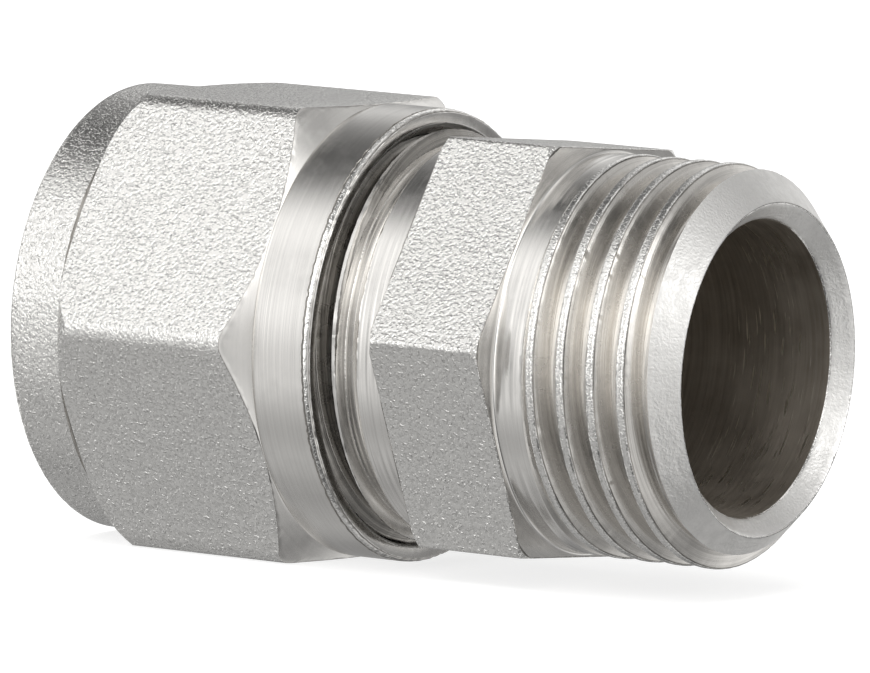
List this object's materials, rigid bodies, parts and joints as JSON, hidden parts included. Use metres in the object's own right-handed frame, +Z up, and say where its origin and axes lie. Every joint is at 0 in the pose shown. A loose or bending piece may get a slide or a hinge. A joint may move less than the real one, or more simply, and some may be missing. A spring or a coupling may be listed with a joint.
{
  "type": "reducing compression coupling",
  "caption": "Straight plated brass coupling that clamps a multilayer pipe on a stem under a hexagon nut, and reduces it to a male pipe thread.",
  "frame": {"origin": "middle of the bounding box's bottom, on the surface that one flat of the nut lies on", "axes": "+X along the fitting's axis towards the threaded outlet, +Z up, +Y away from the side that the picture shows"},
  "size_m": [0.0392, 0.0274, 0.0239],
  "materials": {
    "turned_nickel": "nickel plated brass, turned",
    "blasted_nickel": "nickel plated brass, shot-blasted forging",
    "bare_brass": "bare, turned",
    "seal_rubber": "moulded, satin",
    "washer_plastic": "moulded, plain"
  },
  "bodies": {
    "fitting": {"fitting_body": "turned_nickel", "stem_seal_1": "seal_rubber", "stem_seal_2": "seal_rubber", "insulating_washer": "washer_plastic"},
    "ring": {"split_ring": "bare_brass"},
    "nut": {"compression_nut": "blasted_nickel"}
  },
  "joints": [
    {"name": "ring_slide", "type": "slide", "parent": "fitting", "child": "ring", "axis": [1, 0, 0], "range_m": [-0.0053, 0.0023]},
    {"name": "nut_turn", "type": "hinge", "parent": "ring", "child": "nut", "pos_m": [-0.01963, 0, 0.01194], "axis": [1, 0, 0], "range_deg": [-1260, 540]}
  ],
  "couplings": [
    {"joint": "ring_slide", "follows": "nut_turn", "m_per_rad": 0.00023873}
  ]
}
